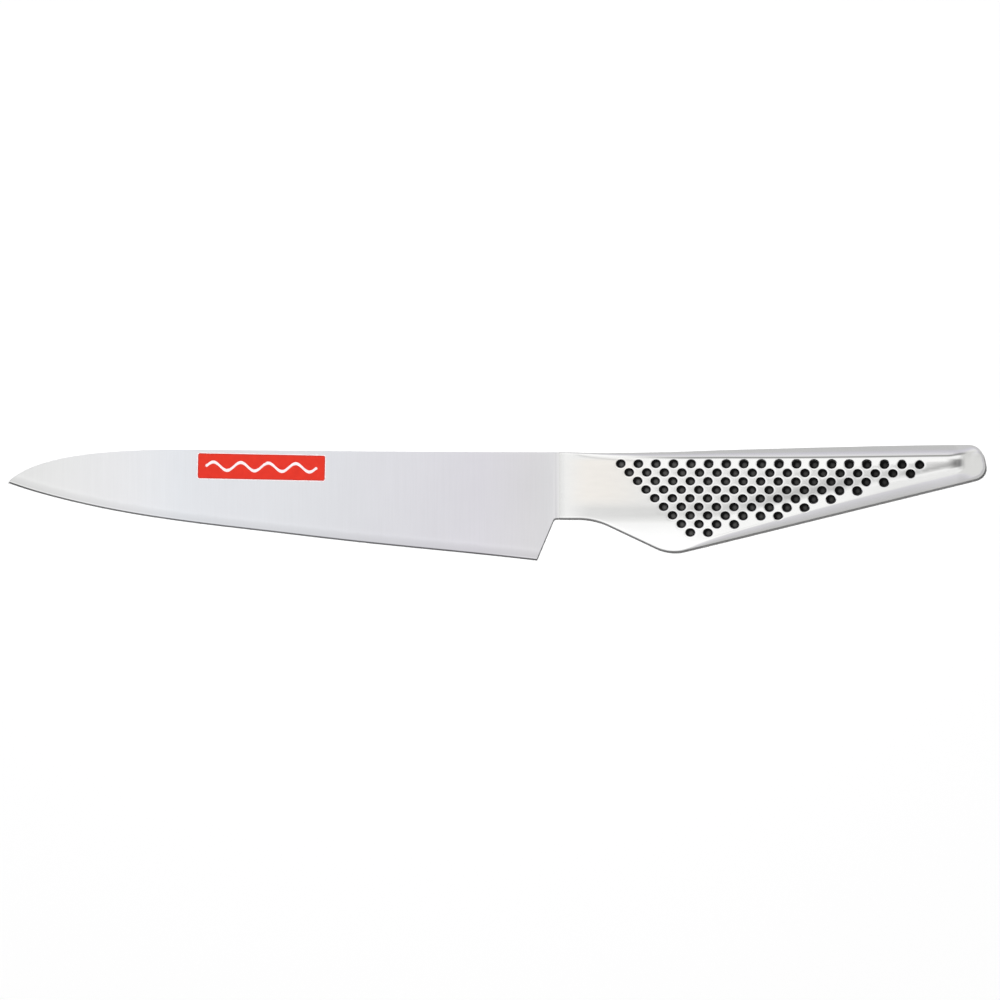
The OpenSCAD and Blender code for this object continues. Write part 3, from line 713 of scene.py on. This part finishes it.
source, triangles = triangulate(plane, [np.arange(ring_size)])
outer = plane[source]
outer_z = skin(outer[:, 0], outer[:, 1]) - drop[source]
nudge = 0.012
tilt = np.stack([(skin(outer[:, 0] + nudge, outer[:, 1]) - skin(outer[:, 0] - nudge, outer[:, 1])),
                 (skin(outer[:, 0], outer[:, 1] + nudge) - skin(outer[:, 0], outer[:, 1] - nudge)),
                 np.full(len(outer), -2 * nudge)], -1)
outer_normal = -tilt / np.linalg.norm(tilt, axis=1)[:, None]
is_rim = (source < rounded) & ~((source > len(rim_line) + 3) & (source < ring_size - 4))

# How the tone of the steel varies, as a factor on its colour that is fitted to the
# photograph: it paints in the shade and highlights of the room that the steel mirrors.
# Painted shade darkens a fine line along the upper ridge, the floor above its crease, the
# deep end of the dish and the rim behind it, a band along the neck's crease, a line where
# the upper strip runs out, the slope below the crease and the run-out to the weld. Painted
# highlights brighten the strip above that line, the bevels, the belly and the top of the
# end, with a painted darker line under it.
along_x, up_y = outer.T
line_at = np.interp(along_x, ridge_x, ridge_top - 0.09 + 0.68 * smooth((ridge_x - 110.0) / 6.0))
floor_low, floor_top = (np.interp(along_x, ridge_x, line) for line in (crease, foot))
over, under = up_y - floor_low, floor_top - up_y
ridge_over = np.interp(along_x, ridge_x, ridge_low) - up_y
above_foot = up_y - np.interp(along_x, ridge_x, strip_foot)


def behind(start, length):
    """A step from 0 to 1 that begins at a place along the knife."""
    return smooth((along_x - start) / length)


def bell(off, width):
    """A soft hump: e to the power of minus the squared share of off in width."""
    return np.exp(-(off / width) ** 2)


fine_line = (np.clip(1.3 - np.abs(up_y - line_at) / 0.30, 0, 1)
             * behind(14.0, 26.0) * (1 - behind(113.5, 3.0)))
in_floor = smooth((over + 0.45) / 0.6) * smooth((under + 0.45) / 0.6)
ended = 1 - behind(113.3, 1.9)
deep = 0.66 * in_floor * behind(109.3, 3.6) * ended
narrow = behind(86.0, 18.0)
strength = (0.17 * behind(30.0, 12.0) + 0.16 * behind(50.0, 14.0) - 0.18 * behind(80.0, 6.0)
            + 0.25 * behind(93.0, 12.0))
low_floor = (strength * bell(over - 1.9 + 1.1 * narrow, 2.1 - 1.3 * narrow)
             * smooth((over + 0.35) / 0.7) * ended * (1 - 0.6 * behind(109.0, 3.0)))
end_rim = (0.33 * bell(along_x - 114.1, 0.85) * smooth((over + 1.4) / 1.0)
           * smooth((under + 1.2) / 1.0))
band = 0.17 * bell(up_y + 17.0, 2.1) * behind(1.0, 9.0) * (1 - behind(28.0, 12.0))
at_neck = behind(3.0, 4.0) * (1 - behind(19.0, 8.0))
strip_line = 0.2 * at_neck * bell(above_foot, 0.26)
bright_strip = 0.06 * at_neck * smooth((above_foot - 0.1) / 0.4)
bright_end = behind(111.5, 4.0) * (0.20 * smooth((up_y + 0.1) / 0.9)
                                   - 0.07 * bell(up_y + 0.6, 0.7))
low_slope = (0.11 * behind(78.0, 18.0) * smooth((-over - 0.1) / 0.5)
             * (1 - smooth((ridge_over + 0.2) / 0.5)) * (1 - behind(112.0, 3.0)))
bright_bevel = (0.10 * bell(up_y - line_at - 0.65, 0.6) * behind(20.0, 15.0)
                * (1 - behind(110.0, 4.0))
                + 0.07 * behind(100.0, 8.0) * smooth((ridge_over + 0.1) / 0.4)
                * (1 - behind(112.0, 3.0)))
bright_belly = 0.10 * smooth((-19.0 - up_y) / 1.5) * (1 - behind(38.0, 10.0))
run_out = 0.10 * (1 - behind(0.0, 2.4))
shade = ((1 - 0.73 * fine_line) * (1 - deep) * (1 - low_floor) * (1 - end_rim) * (1 - band)
         * (1 - strip_line) * (1 + bright_strip) * (1 + bright_end) * (1 - run_out)
         * (1 + bright_bevel) * (1 - low_slope) * (1 + bright_belly))

# The inner side: a rebate for the seam weld, the flat rim, the pocket for the tang and
# the wall of the cavity, one sheet thickness under the face
first = int(np.argmax(rim_line[:, 0] > SOLID + RIM_W))
last = len(rim_line) - int(np.argmax(rim_line[::-1, 0] > SOLID + RIM_W))


def cavity_ring(depth):
    """The cavity's outline: the rim moved inward, closed straight across the neck."""
    moved = (rim_line + inner * depth)[first:last]
    across = np.linspace(moved[-1, 1], moved[0, 1], 26)[1:-1]
    x = np.linspace(moved[-1, 0], moved[0, 0], 26)[1:-1]
    return np.concatenate([moved, np.stack([x, across], -1)])


def tang_ring(out):
    """The pocket's outline round the tang, wider than the tang by a clearance."""
    x = np.array([0.0, TANG_LEN + out, TANG_LEN + out, 0.0])
    tall = (TANG_H - TANG_TAPER * np.clip(x / TANG_LEN, 0, 1)) / 2 + out
    return np.stack([x, -NECK_H / 2 + tall * np.array([1, 1, -1, -1])], -1)


rebate = rim_ring(SEAM)
edge_ring, wall_ring, tang_out, tang_in = (cavity_ring(RIM_W), cavity_ring(RIM_W + 0.03),
                                           tang_ring(0.06), tang_ring(0.03))
tang_out[[0, 3], 0] = tang_in[[0, 3], 0] = 0.12
coarse = lattice(1.6, 19.0)
coarse = coarse[inside(coarse, RIM_W + 0.5)]
below = np.concatenate([rebate, edge_ring, wall_ring, tang_out, tang_in, coarse])
sizes = np.cumsum([0, ring_size, len(edge_ring), len(wall_ring), 4, 4, len(coarse)])
source_low, triangles_low = triangulate(
    below, [np.arange(sizes[i], sizes[i + 1]) for i in range(5)])
inner_sheet = below[source_low]
ceiling = np.maximum(face_half(inner_sheet[:, 0], inner_sheet[:, 1]) - SHEET, 0.05)
pocket = blade_half(inner_sheet[:, 0], inner_sheet[:, 1]) - TANG_STEP + 0.05
kind = np.searchsorted(sizes, source_low, side="right") - 1
inner_z = np.select([(kind == 2) | (kind == 5), kind == 4], [ceiling, pocket], 0.0)

step_z = np.where(np.arange(ring_size) < len(rim_line), SEAM / 2, SEAM / 4)
rim_wall = [in_frame(*rim_ring(0.0).T, SEAM / 2), in_frame(*rim_ring(SEAM).T, step_z)]
outer_at = np.full(len(plane), -1)
outer_at[source] = np.arange(len(source))
inner_at = np.full(len(below), -1)
inner_at[source_low] = np.arange(len(source_low))
n_outer = len(outer)
wall_rows = [outer_at[:ring_size], n_outer + np.arange(ring_size),
             n_outer + ring_size + np.arange(ring_size),
             n_outer + 2 * ring_size + inner_at[:ring_size]]
wall_faces = []
for upper_row, lower_row in zip(wall_rows, wall_rows[1:]):
    up, low_next = np.roll(upper_row, -1), np.roll(lower_row, -1)
    wall_faces += [np.stack([upper_row, low_next, lower_row], -1),
                   np.stack([upper_row, up, low_next], -1)]
half_points = np.concatenate([in_frame(outer[:, 0], outer[:, 1], outer_z), *rim_wall,
                              in_frame(inner_sheet[:, 0], inner_sheet[:, 1], inner_z)])
half_faces = np.concatenate([triangles, *wall_faces,
                             triangles_low[:, ::-1] + n_outer + 2 * ring_size])
middle = ORIGIN[2] / 1000.0


def handle_half(name, turn, node):
    """One half of the handle. turn is 1 for the front and -1 for the back, its mirror
    image. The skin gets the exact normals of its formula, the rest even ones."""
    points = half_points.copy()
    points[:, 2] = middle + turn * (points[:, 2] - middle)
    piece = add_piece(name, points, half_faces, node)
    set_normals(piece, np.flatnonzero(~is_rim), outer_normal[~is_rim] * (1, 1, turn))
    store(piece, "shade", np.concatenate([shade, np.ones(len(points) - n_outer)]))
    piece.data.materials.append(satin)
    return piece


def shade_and_warm_tint(place, add, calc, vector, span):
    """A colour for the handle: the painted shade and highlights of its shade attribute, and a
    warmer tone over the neck that fades rearward and down to the crease."""
    shade = add("ShaderNodeAttribute", {"attribute_name": "shade"}).outputs["Fac"]
    split = add("ShaderNodeSeparateXYZ", i0=place).outputs
    share = calc("MULTIPLY", span(split["X"], 0.030, 0.048, 1.0, 0.0),
                 span(split["X"], 0.018, 0.026))
    share = calc("MULTIPLY", share, span(split["Y"], -0.003, 0.002))
    share = calc("MULTIPLY", share, span(split["Y"], 0.0113, 0.0128, 1.0, 0.0))
    warm = ramp(add, share, [(0.0, 1.0), (1.0, (1.03, 0.995, 0.955))])
    return vector("SCALE", warm, scale=shade)


satin = steel("satin_handle", (0.93, 0.93, 0.925), 0.15, (260.0, 900.0, 400.0), line_tint=0.01,
              cloud_tint=0.01, grain=0.03, bump=0.000003, tint=shade_and_warm_tint)
handle_half("handle_half_front", 1, "handle_shell_front")
handle_half("handle_half_back", -1, "handle_shell_back")


# Seam weld: one bead round the rim joins the two halves, from the neck's top over the butt
# to the neck's underside. It fills the rebate and is ground flush and polished.
END_PART = (rim_line[:, 0] > 119) & (rim_line[:, 1] < 1)
PLUG_AT = int(np.flatnonzero(END_PART)[np.argmin(np.abs(rim_line[END_PART, 1] + 2.35))])
PLUG_R = 1.38
off_plug = np.linalg.norm(rim_line - rim_line[PLUG_AT], axis=1)


def bead(stretch, side):
    """One stretch of the bead: a four-sided bar along the rim, a hair inside the rebate,
    that ends flat against the plug. side is -1 before the plug and 1 after it."""
    end = rim_line[[PLUG_AT]] + side * (PLUG_R + 0.01) * way[[PLUG_AT]]
    line = np.concatenate([rim_line[stretch], end][::-side])
    deep = line + np.concatenate([inner[stretch], inner[[PLUG_AT]]][::-side]) * (SEAM - 0.01)
    up = SEAM / 2 - 0.005
    points = np.stack([in_frame(*line.T, up), in_frame(*deep.T, up), in_frame(*deep.T, -up),
                       in_frame(*line.T, -up)], 1).reshape(-1, 3)
    return points, outward(points, bar_faces(len(line), 4))


clear = np.flatnonzero(off_plug > PLUG_R + 0.02)
bead_points, bead_faces = bead(clear[clear < PLUG_AT], -1)
more_points, more_faces = bead(clear[clear > PLUG_AT], 1)
seam = add_piece("seam_bead", np.concatenate([bead_points, more_points]),
                 np.concatenate([bead_faces, more_faces + len(bead_points)]),
                 "seam_weld", smooth_faces=False)
seam.data.materials.append(steel("seam_bead", (0.80, 0.80, 0.80), 0.32, (900.0, 900.0, 900.0)))


# Filler plug: a short steel pin closes the hole in the butt through which the sand goes
# in, and is ground flush with the end, with a fine chamfer left round it.
PIN_SIDES = 40
pin_depth = np.array([-0.03, -0.03, 0.03, 1.5, 1.5])[:, None]
pin_r = PLUG_R * np.array([0.0, 0.95, 1.0, 1.0, 0.0])[:, None]
angle = np.arange(PIN_SIDES) * 2 * math.pi / PIN_SIDES
pin_side = pin_r * np.cos(angle)
pin_in, pin_way = inner[PLUG_AT], way[PLUG_AT]
pin_points = in_frame(rim_line[PLUG_AT, 0] + pin_in[0] * pin_depth + pin_way[0] * pin_side,
                      rim_line[PLUG_AT, 1] + pin_in[1] * pin_depth + pin_way[1] * pin_side,
                      pin_r * np.sin(angle))
pin_points = np.concatenate([pin_points[:1], pin_points[PIN_SIDES:-PIN_SIDES], pin_points[-1:]])
a = 1 + np.arange(PIN_SIDES)
b = np.roll(a, -1)
walls = grid_faces(3, PIN_SIDES, around=True) + 1
last = len(pin_points) - 1
pin_faces = np.concatenate([np.stack([0 * a, b, a], -1), walls[:, [0, 3, 2]], walls[:, [0, 2, 1]],
                            np.stack([0 * a + last, a + 2 * PIN_SIDES, b + 2 * PIN_SIDES], -1)])
plug = add_piece("plug_ground", pin_points, pin_faces, "filler_plug",
                 smooth_faces=False)
plug.data.materials.append(steel("plug_pin", (0.74, 0.74, 0.745), 0.38, (1500.0, 1500.0, 300.0)))


# Sand: fine dry grains, poured in through the hole in the butt, fill the hollow handle and
# give the knife its balance. The piece keeps its solid's mesh and gets only a material.
GRAIN_COLOURS = [(0.0, (0.42, 0.33, 0.20)), (0.45, (0.66, 0.56, 0.40)), (0.7, (0.80, 0.72, 0.56)),
                 (1.0, (0.90, 0.86, 0.76))]
sand, add, *_ = new_material("dry_sand")
place = add("ShaderNodeTexCoord").outputs["Object"]
grains = add("ShaderNodeTexVoronoi", Vector=place, Scale=2600.0)
colours = ramp(add, grains.outputs["Color"], GRAIN_COLOURS)
relief = add("ShaderNodeBump", Strength=0.8, Distance=0.00012, Height=grains.outputs["Distance"])
shader = add("ShaderNodeBsdfPrincipled", Base_Color=colours, Roughness=0.9,
             Normal=relief.outputs[0])
add("ShaderNodeOutputMaterial", i0=shader.outputs[0])
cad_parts["balance_sand"].data.materials.clear()
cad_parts["balance_sand"].data.materials.append(sand)


# Enamel: each dimple is filled with a little black enamel, which shrinks into a thin
# glossy cup as it dries and leaves the dimple's rim bare.
ENAMEL_T, ENAMEL_R = 0.12, 1.17
CUP_SIDES = 12
cup_r = ENAMEL_R * np.array([0.0, 0.68, 1.0, 0.68, 0.0])
cup_lift = np.array([ENAMEL_T, ENAMEL_T, 0.3 * ENAMEL_T, 0.004, 0.004])
cup_ball = BALL_R - DIMPLE_DEPTH - np.sqrt(BALL_R ** 2 - cup_r ** 2)
cup_z = soft_min(cup_ball, 0.0, DIMPLE_SOFT) + cup_lift
angle = np.arange(CUP_SIDES) * 2 * math.pi / CUP_SIDES
cup_x = OVAL[0] * cup_r[:, None] * np.cos(angle)
cup_y = OVAL[1] * cup_r[:, None] * np.sin(angle)


def enamel(name, turn, node):
    """All cups of one face: rings round a pole above and one below, set in each dimple."""
    level = face_half(dimples[:, 0], dimples[:, 1])
    x = dimples[:, 0, None, None] + cup_x[None, 1:-1]
    y = dimples[:, 1, None, None] + cup_y[None, 1:-1]
    z = level[:, None, None] + cup_z[None, 1:-1, None] + 0 * x
    poles = [in_frame(dimples[:, 0], dimples[:, 1], turn * (level + cup_z[i])) for i in (0, -1)]
    points = np.concatenate([in_frame(x, y, turn * z).reshape(len(level), -1, 3),
                             np.stack(poles, 1)], 1)
    quads = grid_faces(len(cup_r) - 2, CUP_SIDES, around=True)
    a = np.arange(CUP_SIDES)
    b = (a + 1) % CUP_SIDES
    last = (len(cup_r) - 3) * CUP_SIDES
    pole = last + CUP_SIDES
    one = outward(points[0], np.concatenate([
        quads[:, [0, 1, 2]], quads[:, [0, 2, 3]], np.stack([a * 0 + pole, a, b], -1),
        np.stack([a * 0 + pole + 1, b + last, a + last], -1)]))
    faces = (one[None] + (np.arange(len(level)) * points.shape[1])[:, None, None]).reshape(-1, 3)
    piece = add_piece(name, points.reshape(-1, 3), faces, node)
    inside_cup = np.stack([cup_x[1:-1].ravel(), cup_y[1:-1].ravel(), np.zeros(pole)], -1)
    inside_cup = np.concatenate([inside_cup, np.zeros((2, 3))])
    piece.data.attributes.new("in_cup", "FLOAT_VECTOR", "POINT").data.foreach_set(
        "vector", np.tile(inside_cup.astype(np.float32), (len(level), 1)).ravel())
    piece.data.materials.append(black)
    return piece


black, add, calc, vector, span = new_material("black_enamel")
place = add("ShaderNodeTexCoord").outputs["Object"]
cloud = add("ShaderNodeTexNoise", Vector=place, Scale=1500.0, Detail=2.0).outputs[0]
in_cup = add("ShaderNodeAttribute", {"attribute_name": "in_cup"}).outputs["Vector"]
# The black carries a painted grey highlight: lightest off the middle of each cup, to the right and
# below it, broken up by noise, and brighter in the dimples towards the blade than in those towards
# the butt.
depth = calc("MULTIPLY_ADD", cloud, 0.3, vector("DISTANCE", in_cup, (0.30, -0.24, 0.0)))
painted_glint_on_black = ramp(add, depth, [(0.15, (0.070, 0.069, 0.067)), (0.6, (0.042, 0.042, 0.041)),
                          (0.95, (0.008, 0.008, 0.009)), (1.0, 0.002)])
x = add("ShaderNodeSeparateXYZ", i0=place).outputs["X"]
tone = vector("SCALE", painted_glint_on_black, scale=span(x, 0.035, 0.118, 1.6, 0.25, soft=False))
shader = add("ShaderNodeBsdfPrincipled", Base_Color=tone, Specular_IOR_Level=0.06,
             Roughness=span(cloud, 0.3, 0.7, 0.14, 0.26, soft=False))
add("ShaderNodeOutputMaterial", i0=shader.outputs[0])
enamel("enamel_front", 1, "dimple_enamel_front")
enamel("enamel_back", -1, "dimple_enamel_back")


# Label: a printed film with rounded corners, stuck on the front of the blade by the spine.
# Red with a fine pale border, and one plain white wave along it.
LABEL_HALF, LABEL_R, PALE = np.array([18.05, 3.57]), 0.6, 0.24
LABEL_AT, LABEL_TURN, FILM_T = np.array([-84.5, -4.18]), math.radians(-1.15), 0.1
WAVE_REACH, WAVE_PITCH, WAVE_RISE = 15.45, 7.8, 1.15
corner_turn = np.linspace(0, math.pi / 2, 7)
film_r = LABEL_R + PALE
quarter = LABEL_HALF - LABEL_R + film_r * np.stack([np.cos(corner_turn), np.sin(corner_turn)], -1)
border = np.concatenate([quarter, quarter[::-1] * (-1, 1), -quarter, quarter[::-1] * (1, -1)])
film_cos, film_sin = math.cos(LABEL_TURN), math.sin(LABEL_TURN)
border = LABEL_AT + border @ np.array([[film_cos, film_sin], [-film_sin, film_cos]])
film_x, film_y = np.concatenate([[LABEL_AT], border]).T
film_n = len(border)
film_points = np.concatenate([
    in_frame(film_x, film_y, blade_half(film_x, film_y) + t) for t in (FILM_T, 0.003)])
a = 1 + np.arange(film_n)
b = np.roll(a, -1)
film_faces = np.concatenate([np.stack(corners, -1) for corners in (
    (0 * a, a, b), (0 * a + film_n + 1, b + film_n + 1, a + film_n + 1), (a, a + film_n + 1, b),
    (b, a + film_n + 1, b + film_n + 1))])
label = add_piece("label_film", film_points, film_faces, "flex_label",
                  smooth_faces=False)

film, add, calc, vector, span = new_material("red_film")
place = add("ShaderNodeTexCoord").outputs["Object"]
centred = add("ShaderNodeMapping", {"vector_type": "TEXTURE"}, Vector=place,
              Location=(*(LABEL_AT + ORIGIN[:2]) / 1000.0, 0.0), Rotation=(0.0, 0.0, LABEL_TURN),
              Scale=(0.001,) * 3).outputs[0]
split = add("ShaderNodeSeparateXYZ", i0=centred).outputs
past = vector("SUBTRACT", vector("ABSOLUTE", vector("MULTIPLY", centred, (1.0, 1.0, 0.0))),
              (*(LABEL_HALF - LABEL_R), 0.0))
from_corner = vector("LENGTH", vector("MAXIMUM", past, (0.0, 0.0, 0.0)))
pale = span(from_corner, LABEL_R - 0.04, LABEL_R + 0.04)
dark = span(from_corner, LABEL_R - 0.34, LABEL_R - 0.14, 1.0, 0.74)
within = calc("MAXIMUM", calc("MINIMUM", split["X"], WAVE_REACH), -WAVE_REACH)
wave = calc("MULTIPLY", calc("SINE", calc("MULTIPLY", within, 2 * math.pi / WAVE_PITCH)),
            WAVE_RISE)
off_x = calc("POWER", calc("SUBTRACT", split["X"], within), 2.0)
off_y = calc("POWER", calc("SUBTRACT", split["Y"], wave), 2.0)
stroke = span(calc("SQRT", calc("ADD", off_y, off_x)), 0.50, 0.36)
mottle = add("ShaderNodeTexNoise", Vector=place, Scale=500.0, Detail=3.0).outputs[0]
red = ramp(add, mottle, [(0.3, (0.67, 0.027, 0.013)), (0.7, (0.735, 0.035, 0.018))])
ink = add("ShaderNodeMix", {"data_type": "RGBA"}, i0=calc("MAXIMUM", pale, stroke),
          i6=vector("SCALE", red, scale=dark), i7=(0.94, 0.86, 0.88, 1.0))
shader = add("ShaderNodeBsdfPrincipled", Base_Color=ink.outputs[2],
             Roughness=span(mottle, 0.0, 1.0, 0.32, 0.46, soft=False))
add("ShaderNodeOutputMaterial", i0=shader.outputs[0])
label.data.materials.append(film)
